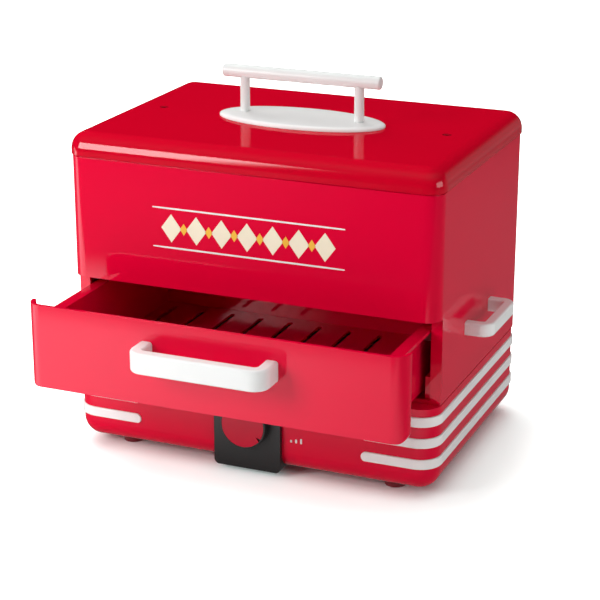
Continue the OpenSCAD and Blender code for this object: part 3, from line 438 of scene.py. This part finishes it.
def print_form(x, z, half_w, half_h, power, face_y, ink, around=48):
    """A flat form on a wall that faces -Y. Its outline is the curve where the sum of the two shares of the
    half sizes, each raised to the power, is one: 1 gives a lozenge, 2 an ellipse, and more a rounded bar."""
    angle = np.linspace(0, 2 * np.pi, around, endpoint=False)
    cos, sin = np.cos(angle), np.sin(angle)
    reach = (np.abs(cos) ** power + np.abs(sin) ** power) ** (-1 / power)
    share = np.array([0, 1, 1, 0])[:, None]
    depth = np.array([face_y + ink / 2, face_y + ink / 2, face_y - ink, face_y - ink])[:, None]
    across = x + half_w * share * (reach * cos)[None]
    up = z + half_h * share * (reach * sin)[None]
    return shell(np.stack([across, np.broadcast_to(depth, across.shape), up], axis=-1))


# Shader node groups


def new_group(name, inputs, outputs):
    """An empty shader node group with named sockets, and its two ends."""
    tree = bpy.data.node_groups.new(name, "ShaderNodeTree")
    for label, kind, value in inputs:
        tree.interface.new_socket(name=label, in_out="INPUT", socket_type=kind).default_value = value
    for label, kind in outputs:
        tree.interface.new_socket(name=label, in_out="OUTPUT", socket_type=kind)
    return tree, tree.nodes.new("NodeGroupInput"), tree.nodes.new("NodeGroupOutput")


def math_node(tree, operation, first, second=0.0):
    """A Math node fed by sockets or numbers. Operations on one value leave the second out."""
    node = tree.nodes.new("ShaderNodeMath")
    node.operation = operation
    for socket, value in zip(node.inputs, (first, second)):
        if isinstance(value, bpy.types.NodeSocket):
            tree.links.new(value, socket)
        else:
            socket.default_value = value
    return node.outputs["Value"]


def product(tree, value, *others):
    """A value times others, in turn."""
    for other in others:
        value = math_node(tree, "MULTIPLY", value, other)
    return value


def ramp(tree, value, span, levels):
    """A value carried smoothly from one level to another across a span."""
    node = tree.nodes.new("ShaderNodeMapRange")
    node.interpolation_type = "SMOOTHSTEP"
    tree.links.new(value, node.inputs["Value"])
    for label, number in zip(("From Min", "From Max", "To Min", "To Max"), (*span, *levels)):
        node.inputs[label].default_value = number
    return node.outputs["Result"]


def split(tree, vector):
    """The X, Y and Z of a vector."""
    parts = tree.nodes.new("ShaderNodeSeparateXYZ")
    tree.links.new(vector, parts.inputs["Vector"])
    return parts.outputs


def noise_node(tree, vector, scale, detail):
    """A Noise Texture on the given coordinates."""
    node = tree.nodes.new("ShaderNodeTexNoise")
    tree.links.new(vector, node.inputs["Vector"])
    tree.links.new(scale, node.inputs["Scale"])
    node.inputs["Detail"].default_value = detail
    return node.outputs["Fac"]


def centred(tree, value, span):
    """A noise value of 0 to 1 as an offset of up to span to each side of zero."""
    offset = math_node(tree, "SUBTRACT", value, 0.5)
    return product(tree, offset, math_node(tree, "MULTIPLY", span, 2))


def scaled_colour(tree, colour, factor):
    """A colour times a value that changes over the surface."""
    node = tree.nodes.new("ShaderNodeVectorMath")
    node.operation = "SCALE"
    tree.links.new(colour, node.inputs[0])
    tree.links.new(factor, node.inputs["Scale"])
    return node.outputs["Vector"]


SKIN_SOCKETS = [
    ("Colour", "NodeSocketColor", (0.5, 0.5, 0.5, 1)),
    ("Tint span", "NodeSocketFloat", 0.02),
    ("Patch scale", "NodeSocketFloat", 14.0),
    ("Grain scale", "NodeSocketFloat", 600.0),
    ("Roughness", "NodeSocketFloat", 0.2),
    ("Roughness span", "NodeSocketFloat", 0.03),
]
SKIN_RESULTS = [
    ("Colour", "NodeSocketColor"),
    ("Roughness", "NodeSocketFloat"),
    ("Height", "NodeSocketFloat"),
]


def put_out(tree, ends, result, patch, gloss, height, least):
    """Carries a skin's noises to its outputs: tint, gloss above the least roughness, and height."""
    given = ends.outputs
    tint = math_node(tree, "ADD", centred(tree, patch, given["Tint span"]), 1)
    rough = math_node(tree, "ADD", centred(tree, gloss, given["Roughness span"]), given["Roughness"])
    tree.links.new(scaled_colour(tree, given["Colour"], tint), result.inputs["Colour"])
    tree.links.new(math_node(tree, "MAXIMUM", rough, least), result.inputs["Roughness"])
    tree.links.new(height, result.inputs["Height"])


def moulded_skin():
    """Moulded plastic: broad patches in colour, finer ones in gloss, and a polished mould's fine waviness."""
    tree, ends, result = new_group("moulded_skin", SKIN_SOCKETS, SKIN_RESULTS)
    place = tree.nodes.new("ShaderNodeTexCoord").outputs["Object"]
    broad = ends.outputs["Patch scale"]
    patch = noise_node(tree, place, broad, detail=3)
    bloom = noise_node(tree, place, product(tree, broad, BLOOM_SCALE), detail=5)
    grain = noise_node(tree, place, ends.outputs["Grain scale"], detail=2)
    put_out(tree, ends, result, patch, bloom, grain, PLASTIC_LEAST)
    return tree


def drawn_metal():
    """Rolled sheet metal: fine lines along X in gloss and height over broad, faint stains."""
    tree, ends, result = new_group("drawn_metal", SKIN_SOCKETS, SKIN_RESULTS)
    place = tree.nodes.new("ShaderNodeTexCoord").outputs["Object"]
    stretch = tree.nodes.new("ShaderNodeMapping")
    stretch.inputs["Scale"].default_value = (LINE_STRETCH, 1, 1)
    tree.links.new(place, stretch.inputs["Vector"])
    lines = noise_node(tree, stretch.outputs["Vector"], ends.outputs["Grain scale"], detail=4)
    patch = noise_node(tree, place, ends.outputs["Patch scale"], detail=4)
    put_out(tree, ends, result, patch, lines, lines, METAL_LEAST)
    return tree


def skin_group(name):
    """The shared node group of that name, made once."""
    makers = {"moulded_skin": moulded_skin, "drawn_metal": drawn_metal}
    return bpy.data.node_groups.get(name) or makers[name]()


# Materials


def finish(name, colour, roughness, group="moulded_skin", tint=0.02, patch=14.0, grain=600.0, span=0.03,
           relief=0.05 * MM, strength=0.15, metallic=0.0, ior=1.5, specular=0.5, soften=None):
    """A material: a shared skin group on a Principled shader, with its relief over softened edges."""
    known = bpy.data.materials.get(name)
    if known:
        return known
    made = bpy.data.materials.new(name)
    made.use_nodes = True
    tree = made.node_tree
    shader = tree.nodes["Principled BSDF"]
    skin = tree.nodes.new("ShaderNodeGroup")
    skin.node_tree = skin_group(group)
    values = {"Colour": (*colour, 1), "Tint span": tint, "Patch scale": patch, "Grain scale": grain,
              "Roughness": roughness, "Roughness span": span}
    for label, value in values.items():
        skin.inputs[label].default_value = value
    bump = tree.nodes.new("ShaderNodeBump")
    bump.inputs["Strength"].default_value = strength
    bump.inputs["Distance"].default_value = relief
    edges = tree.nodes.new("ShaderNodeBevel")
    edges.samples = EDGE_SAMPLES
    sizes = bpy.context.scene.steamer_sizes
    edges.inputs["Radius"].default_value = sizes.edge_soften if soften is None else soften
    tree.links.new(edges.outputs["Normal"], bump.inputs["Normal"])
    tree.links.new(skin.outputs["Height"], bump.inputs["Height"])
    tree.links.new(skin.outputs["Colour"], shader.inputs["Base Color"])
    tree.links.new(skin.outputs["Roughness"], shader.inputs["Roughness"])
    tree.links.new(bump.outputs["Normal"], shader.inputs["Normal"])
    shader.inputs["Metallic"].default_value = metallic
    shader.inputs["IOR"].default_value = ior
    shader.inputs["Specular IOR Level"].default_value = specular
    return made


def red_plastic(name, colour, roughness, sheen, specular=0.5):
    """Polished red plastic with a deep, even colour, whose reflections are a little red too."""
    made = finish(name, colour, roughness, tint=0.015, patch=9, grain=420, span=0.02, relief=0.01 * MM,
                  strength=0.06, ior=PLASTIC_IOR, specular=specular)
    made.node_tree.nodes["Principled BSDF"].inputs["Specular Tint"].default_value = (*sheen, 1)
    return made


def edge_coat(made, roughness):
    """A clear coat on the rounded edges and the upright sides, which fades out towards the level top."""
    tree = made.node_tree
    shader = tree.nodes["Principled BSDF"]
    facing = split(tree, tree.nodes.new("ShaderNodeTexCoord").outputs["Normal"])
    tree.links.new(ramp(tree, facing["Z"], COAT_FADE, (1, 0)), shader.inputs["Coat Weight"])
    shader.inputs["Coat Roughness"].default_value = roughness
    shader.inputs["Coat IOR"].default_value = PLASTIC_IOR


def white_plastic(name, colour, roughness):
    """White plastic, a little softer than the red."""
    return finish(name, colour, roughness, tint=0.012, patch=20, grain=700, span=0.04, relief=0.02 * MM,
                  strength=0.10, ior=PLASTIC_IOR)


def black_plastic(finishes):
    """Satin black plastic with a fine spark-eroded grain."""
    return finish("grained_black", finishes.black, finishes.black_gloss, tint=0.10, patch=40, grain=2600,
                  span=0.06, relief=0.05 * MM, strength=0.35)


def print_ink(name, colour):
    """Screen-printed ink: even, with a slightly dry surface."""
    return finish(name, colour, roughness=0.34, tint=0.03, patch=60, grain=3000, span=0.06, relief=0.01 * MM,
                  strength=0.2, soften=0.02 * MM)


def dress(nodes, material):
    """Gives CAD nodes a material, in place of the plain one that they come with."""
    for name in nodes:
        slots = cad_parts[name].data.materials
        slots.clear()
        slots.append(material)


# Studio


def soft_lamp(name, place, size, power, fade=None):
    """A rectangular lamp at a place, facing the object. It may fade out towards its right edge, between two
    shares of its width."""
    lamp = bpy.data.lights.new(name, "AREA")
    lamp.shape = "RECTANGLE"
    lamp.size, lamp.size_y = size
    lamp.energy = power
    holder = bpy.data.objects.new(name, lamp)
    holder.location = place
    holder.rotation_euler = (Vector(LAMP_AIM) - Vector(place)).to_track_quat("-Z", "Y").to_euler()
    holder.visible_camera = False
    bpy.context.scene.collection.objects.link(holder)
    if fade:
        lamp.use_nodes = True
        tree = lamp.node_tree
        across = split(tree, tree.nodes.new("ShaderNodeNewGeometry").outputs["Parametric"])
        tree.links.new(ramp(tree, across["X"], fade, (1, 0)), tree.nodes["Emission"].inputs["Strength"])
    return holder


def floor_places(tree):
    """The floor's own x and y, and the distance from an oblong inside the base's outline."""
    place = split(tree, tree.nodes.new("ShaderNodeTexCoord").outputs["Object"])
    x, y = place["X"], place["Y"]
    squares = []
    for along, low, high in ((x, BASE_LOW.x, BASE_HIGH.x), (y, BASE_LOW.y, BASE_HIGH.y)):
        aside = math_node(tree, "ABSOLUTE", math_node(tree, "SUBTRACT", along, (low + high) / 2))
        past = math_node(tree, "SUBTRACT", aside, (high - low) / 2 - BASE_INSET)
        over = math_node(tree, "MAXIMUM", past, 0)
        squares.append(product(tree, over, over))
    return x, y, math_node(tree, "SQRT", math_node(tree, "ADD", *squares))


def floor_material(studio):
    """A matt pale floor. Where it is seen, directly, through something or in a reflection, it adds light of
    its own: none beside the base, where the shadow lies, some round it, and more further out, where the
    lamps no longer reach. Round the base this light holds less red, against what the mouldings cast."""
    made = bpy.data.materials.new("pale_floor")
    made.use_nodes = True
    tree = made.node_tree
    shader = tree.nodes["Principled BSDF"]
    shader.inputs["Base Color"].default_value = (*studio.floor, 1)
    shader.inputs["Roughness"].default_value = FLOOR_ROUGHNESS
    shader.inputs["Specular IOR Level"].default_value = FLOOR_SPECULAR
    rays = tree.nodes.new("ShaderNodeLightPath").outputs
    seen = math_node(tree, "MAXIMUM", rays["Is Camera Ray"], rays["Is Glossy Ray"])
    seen = math_node(tree, "MAXIMUM", seen, rays["Is Transmission Ray"])
    out = floor_places(tree)[2]
    near = ramp(tree, out, SHADOW_EDGE, (0, studio.floor_lift))
    far = ramp(tree, out, SHADOW_FADE, (0, 1 - studio.floor_lift))
    lift = math_node(tree, "ADD", near, far)
    tree.links.new(product(tree, seen, lift), shader.inputs["Emission Strength"])
    balance = tree.nodes.new("ShaderNodeCombineXYZ")
    balance.inputs["Y"].default_value = 1
    balance.inputs["Z"].default_value = FLOOR_BLUE
    tree.links.new(ramp(tree, out, SHADOW_FADE, (studio.floor_balance, 1)), balance.inputs["X"])
    tree.links.new(balance.outputs["Vector"], shader.inputs["Emission Color"])
    return made


def card_material(studio):
    """What the glossy faces mirror: a grey card that darkens far out and towards the front right, but not
    towards the wall at the rear right, with a white strip across it that is brightest at the left."""
    made = bpy.data.materials.new("reflection_card")
    made.use_nodes = True
    tree = made.node_tree
    tree.nodes.remove(tree.nodes["Principled BSDF"])
    x, y, out = floor_places(tree)
    front = product(tree, ramp(tree, y, CARD_FRONT_Y, (1, 0)), ramp(tree, x, CARD_FRONT_X, CARD_FRONT_GAIN))
    card = product(tree, ramp(tree, out, CARD_FADE, (studio.card_level, CARD_FAR_LEVEL)),
                   math_node(tree, "ADD", front, 1))
    strip_levels = (studio.strip_level, studio.strip_level * STRIP_RIGHT_SHARE)
    strip = product(tree, ramp(tree, y, STRIP_FRONT_Y, (0, 1)), ramp(tree, y, STRIP_REAR_Y, (1, 0)),
                    ramp(tree, x, STRIP_X, strip_levels), ramp(tree, x, STRIP_END_X, (1, 0)))
    foot = product(tree, ramp(tree, x, WALL_FOOT, (0, 1)), ramp(tree, y, WALL_FOOT, (0, 1)),
                   ramp(tree, out, CARD_FADE, (0, studio.wall_level)))
    glow = tree.nodes.new("ShaderNodeEmission")
    grey = math_node(tree, "ADD", card, foot)
    tree.links.new(math_node(tree, "ADD", grey, strip), glow.inputs["Strength"])
    tree.links.new(glow.outputs["Emission"], tree.nodes["Material Output"].inputs["Surface"])
    return made


def stage_plane(name, half, height, material):
    """A level square of the stage, centred on the object."""
    mesh = bpy.data.meshes.new(name)
    corners = [(x * half, y * half, height) for x, y in ((-1, -1), (1, -1), (1, 1), (-1, 1))]
    mesh.from_pydata(corners, [], [(0, 1, 2, 3)])
    mesh.materials.append(material)
    made = bpy.data.objects.new(name, mesh)
    bpy.context.scene.collection.objects.link(made)
    return made


def make_world(studio):
    """A dim room: dark at the horizon and brighter overhead, by the height of the direction looked in. Glossy
    faces mirror a grey wall at the rear right. The room is white behind the floor's edge, where it is seen
    directly or through something."""
    world = bpy.data.worlds.new("studio_room")
    world.use_nodes = True
    tree = world.node_tree
    background = tree.nodes["Background"].inputs
    way = split(tree, tree.nodes.new("ShaderNodeTexCoord").outputs["Generated"])
    rays = tree.nodes.new("ShaderNodeLightPath").outputs
    seen = math_node(tree, "MAXIMUM", rays["Is Camera Ray"], rays["Is Transmission Ray"])
    up = math_node(tree, "POWER", math_node(tree, "MAXIMUM", way["Z"], 0), ZENITH_POWER)
    level = math_node(tree, "ADD", product(tree, up, studio.zenith - studio.horizon), studio.horizon)
    room = product(tree, level, math_node(tree, "SUBTRACT", 1, seen))
    wall = product(tree, ramp(tree, way["Z"], WALL_TOP_Z, (studio.wall_level, 0)),
                   ramp(tree, way["X"], WALL_LEFT_X, (0, 1)), ramp(tree, way["Y"], WALL_FRONT_Y, (0, 1)),
                   rays["Is Glossy Ray"])
    room = math_node(tree, "ADD", room, wall)
    tree.links.new(math_node(tree, "ADD", room, seen), background["Strength"])
    background["Color"].default_value = (1, 1, 1, 1)
    bpy.context.scene.world = world


def make_camera(studio):
    """A camera on a sphere round its target, by azimuth, elevation, distance and roll."""
    turn, rise, roll = studio.azimuth, studio.elevation, studio.roll
    back = Vector((math.sin(turn) * math.cos(rise), -math.cos(turn) * math.cos(rise), math.sin(rise)))
    right = Vector((math.cos(turn), math.sin(turn), 0))
    up = back.cross(right)
    rolled_right = right * math.cos(roll) + up * math.sin(roll)
    rolled_up = up * math.cos(roll) - right * math.sin(roll)
    place = Vector(studio.target) + back * studio.distance
    lens = bpy.data.cameras.new("photo_camera")
    lens.lens = studio.lens
    lens.sensor_width = SENSOR_WIDTH
    camera = bpy.data.objects.new("photo_camera", lens)
    axes = Matrix((rolled_right, rolled_up, back)).transposed().to_4x4()
    camera.matrix_world = Matrix.Translation(place) @ axes
    bpy.context.scene.collection.objects.link(camera)
    bpy.context.scene.camera = camera


# Operators


class STEAMER_OT_red_mouldings(bpy.types.Operator):
    """Finishes the base, the housing, the drawer, the lid and the knob's face in glossy red"""

    bl_idname = "steamer.red_mouldings"
    bl_label = "Red mouldings"

    def execute(self, context):
        finishes = context.scene.steamer_finishes
        sheen, gloss = finishes.red_sheen, finishes.lid_gloss
        dress(RED_NODES, red_plastic("polished_red", finishes.red, finishes.red_gloss, sheen))
        # The lid's deeper copy of the red is painted shade on its top.
        lid = red_plastic("lid_shaded_red", finishes.lid_shaded_red, gloss, sheen, specular=finishes.lid_specular)
        edge_coat(lid, gloss)
        dress(["lid"], lid)
        # The knob face's deeper copy of the red is painted shade under the drawer.
        dress(["knob_face"], red_plastic("knob_shaded_red", finishes.knob_shaded_red, gloss, sheen))
        return {"FINISHED"}


class STEAMER_OT_white_mouldings(bpy.types.Operator):
    """Finishes the trim bands, the handles and the lid's posts and bar in white"""

    bl_idname = "steamer.white_mouldings"
    bl_label = "White mouldings"

    def execute(self, context):
        finishes = context.scene.steamer_finishes
        # trim_white is a darker, less red copy of the white, as painted shade. band_white is a lighter copy,
        # as painted light on the bands and side handles.
        dress(WHITE_NODES, white_plastic("trim_white", finishes.white, finishes.white_gloss))
        dress(BAND_NODES, white_plastic("band_white", finishes.band, finishes.white_gloss))
        return {"FINISHED"}


class STEAMER_OT_black_mouldings(bpy.types.Operator):
    """Finishes the dial plate, the knob and the lead's bush in satin black"""

    bl_idname = "steamer.black_mouldings"
    bl_label = "Black mouldings"

    def execute(self, context):
        dress(BLACK_NODES, black_plastic(context.scene.steamer_finishes))
        return {"FINISHED"}


class STEAMER_OT_rubber_and_runners(bpy.types.Operator):
    """Finishes the feet, the tank's seal, the runners and the terminal block"""

    bl_idname = "steamer.rubber_and_runners"
    bl_label = "Rubber and runners"

    def execute(self, context):
        finishes = context.scene.steamer_finishes
        dress(["feet"], finish("foot_rubber_dark", finishes.foot, roughness=0.62, tint=0.08, grain=1800,
                               span=0.08, strength=0.4))
        dress(["tank_seal"], finish("seal_rubber_black", finishes.seal, roughness=0.55, tint=0.06, grain=1500,
                                    span=0.06))
        dress(["runner_left", "runner_right"],
              finish("runner_red", finishes.runner, roughness=0.38, tint=0.05, grain=900, span=0.05))
        dress(["terminal_block"],
              finish("terminal_cream", finishes.terminal, roughness=0.45, tint=0.04, grain=1200))
        return {"FINISHED"}


class STEAMER_OT_metalwork(bpy.types.Operator):
    """Finishes the tank, the steam plate, the bread tray, the heater, the controls and the screws"""

    bl_idname = "steamer.metalwork"
    bl_label = "Metalwork"

    def execute(self, context):
        finishes = context.scene.steamer_finishes
        sheet = dict(group="drawn_metal", metallic=1.0, tint=0.06, patch=12, grain=1400, span=0.08,
                     relief=0.01 * MM, strength=0.2)
        dress(["water_tank", "steam_plate"],
              finish("pressed_steel", finishes.steel, roughness=0.30, **sheet))
        dress(["bread_tray"],
              finish("slotted_aluminium", finishes.aluminium, roughness=0.36, **sheet))
        dress(["heating_ring"],
              finish("oxidised_heater", finishes.heater, roughness=0.52, metallic=0.8, tint=0.25, patch=30,
                     grain=900, span=0.12, strength=0.4))
        dress(["thermostat", "thermal_cutout", "knob_shaft"],
              finish("plated_controls", finishes.plated, roughness=0.34, metallic=1.0, tint=0.08, patch=40,
                     span=0.08))
        dress(SCREW_NODES,
              finish("plated_screws", finishes.plated, roughness=0.28, metallic=1.0, tint=0.10, patch=200,
                     span=0.1))
        return {"FINISHED"}


class STEAMER_OT_oval_plate(bpy.types.Operator):
    """Makes the domed oval plate under the lid's handle, in place of the CAD plate"""

    bl_idname = "steamer.oval_plate"
    bl_label = "Oval plate"

    def execute(self, context):
        sizes, finishes = context.scene.steamer_sizes, context.scene.steamer_finishes
        # The lighter band white is painted light on the oval plate.
        white = white_plastic("band_white", finishes.band, finishes.white_gloss)
        plate = piece("oval_plate", *oval_plate_form(sizes), white, "lid_unit", "white_plastic")
        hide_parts("lid_oval")
        return {"FINISHED"}


class STEAMER_OT_vent_shade_liners(bpy.types.Operator):
    """Makes deep red liners in the lid's two steam vents: a dark piece that paints shade into the vents"""

    bl_idname = "steamer.vent_liners"
    bl_label = "Vent liners"

    def execute(self, context):
        sizes, finishes = context.scene.steamer_sizes, context.scene.steamer_finishes
        centre = (LID_LOW + LID_HIGH) / 2
        top = LID_HIGH.z - VENT_SINK
        tubes = [vent_shade_form(side * sizes.vent_x, centre.y, top, sizes) for side in (-1, 1)]
        # The liners' deep red is painted shade inside the vents.
        red = red_plastic("vent_shade_red", finishes.vent_shade_red, finishes.lid_gloss, finishes.red_sheen)
        piece("vent_shade_liners", *joined(tubes), red, "lid_unit", "red_plastic")
        return {"FINISHED"}


class STEAMER_OT_front_ornament(bpy.types.Operator):
    """Prints a plain ornament on the front panel: two rules with a row of lozenges between them"""

    bl_idname = "steamer.front_ornament"
    bl_label = "Front ornament"

    def execute(self, context):
        sizes, finishes = context.scene.steamer_sizes, context.scene.steamer_finishes
        middle, gap = sizes.ornament_z, sizes.ornament_gap
        pitch = sizes.ornament_w / (sizes.lozenge_count + ORNAMENT_MARGIN)
        places = (np.arange(sizes.lozenge_count) - (sizes.lozenge_count - 1) / 2) * pitch
        between = (places[1:] + places[:-1]) / 2
        wall = dict(face_y=PANEL_LOW.y, ink=sizes.ink)
        rules = [print_form(0, middle + side * gap / 2, sizes.ornament_w / 2, sizes.rule_h / 2, RULE_POWER,
                            **wall) for side in (-1, 1)]
        large = [print_form(x, middle, pitch * LOZENGE_WIDTH, gap * LOZENGE_HEIGHT, LOZENGE_POWER, **wall)
                 for x in places]
        small = [print_form(x, middle, pitch * POINT_SIZE, gap * POINT_SIZE, LOZENGE_POWER, **wall)
                 for x in between]
        white = print_ink("white_ink", finishes.white)
        cream = print_ink("cream_ink", finishes.cream)
        gold = print_ink("gold_ink", finishes.gold)
        piece("print_rules", *joined(rules), white, "body", "white_plastic")
        piece("print_lozenges", *joined(large), cream, "body", "white_plastic")
        piece("print_points", *joined(small), gold, "body", "white_plastic")
        return {"FINISHED"}


class STEAMER_OT_heat_marks(bpy.types.Operator):
    """Prints three rising bars beside the dial, at its highest setting"""

    bl_idname = "steamer.heat_marks"
    bl_label = "Heat marks"

    def execute(self, context):
        sizes = context.scene.steamer_sizes
        bars = []
        for step in range(MARK_COUNT):
            half_h = (step + MARK_LEAST_STEPS) * MARK_STEP / 2
            bars.append(print_form(sizes.mark_x + step * sizes.mark_pitch, sizes.mark_z + half_h, MARK_HALF_W,
                                   half_h, MARK_POWER, BASE_LOW.y, sizes.ink))
        ink = print_ink("white_ink", context.scene.steamer_finishes.white)
        piece("heat_marks", *joined(bars), ink, "body", "white_plastic")
        return {"FINISHED"}


class STEAMER_OT_studio(bpy.types.Operator):
    """Sets the floor, the lamps, the world and the camera"""

    bl_idname = "steamer.studio"
    bl_label = "Studio"

    def execute(self, context):
        studio = context.scene.steamer_studio
        make_camera(studio)
        stage_plane("floor", studio.floor_size / 2, 0, floor_material(studio))
        card = stage_plane("reflection_card", studio.floor_size / 2, CARD_HEIGHT, card_material(studio))
        card.visible_camera = card.visible_diffuse = card.visible_shadow = False
        card.visible_transmission = card.visible_volume_scatter = False
        soft_lamp("key_lamp", KEY_PLACE, KEY_SIZE, studio.key_power, fade=KEY_FADE)
        soft_lamp("fill_lamp", FILL_PLACE, FILL_SIZE, studio.fill_power)
        rear = soft_lamp("rear_lamp", REAR_PLACE, REAR_SIZE, studio.rear_power)
        top = soft_lamp("top_lamp", TOP_PLACE, TOP_SIZE, studio.top_power)
        rear.visible_glossy = top.visible_glossy = False
        make_world(studio)
        context.scene.view_settings.view_transform = "Standard"
        return {"FINISHED"}


OPERATORS = (
    STEAMER_OT_studio,
    STEAMER_OT_red_mouldings,
    STEAMER_OT_white_mouldings,
    STEAMER_OT_black_mouldings,
    STEAMER_OT_rubber_and_runners,
    STEAMER_OT_metalwork,
    STEAMER_OT_oval_plate,
    STEAMER_OT_vent_shade_liners,
    STEAMER_OT_front_ornament,
    STEAMER_OT_heat_marks,
)
GROUPS = {
    "steamer_finishes": SteamerFinishes,
    "steamer_sizes": SteamerSizes,
    "steamer_studio": SteamerStudio,
}


class STEAMER_PT_builder(bpy.types.Panel):
    """Lists the builder's steps and values"""

    bl_label = "Food steamer"
    bl_idname = "STEAMER_PT_builder"
    bl_space_type = "VIEW_3D"
    bl_region_type = "UI"
    bl_category = "Steamer"

    def draw(self, context):
        for operator in OPERATORS:
            self.layout.operator(operator.bl_idname)
        for name, group in GROUPS.items():
            box = self.layout.box()
            for value in group.__annotations__:
                box.prop(getattr(context.scene, name), value)


def register():
    """Registers the properties, the operators and the panel."""
    for name, group in GROUPS.items():
        bpy.utils.register_class(group)
        setattr(bpy.types.Scene, name, bpy.props.PointerProperty(type=group))
    for made in (*OPERATORS, STEAMER_PT_builder):
        bpy.utils.register_class(made)


def unregister():
    """Takes them away again."""
    for made in reversed((*OPERATORS, STEAMER_PT_builder)):
        bpy.utils.unregister_class(made)
    for name, group in GROUPS.items():
        delattr(bpy.types.Scene, name)
        bpy.utils.unregister_class(group)


def main():
    """Builds the looks."""
    register()
    for operator in OPERATORS:
        family, step = operator.bl_idname.split(".")
        getattr(getattr(bpy.ops, family), step)()


if __name__ == "__main__":
    main()
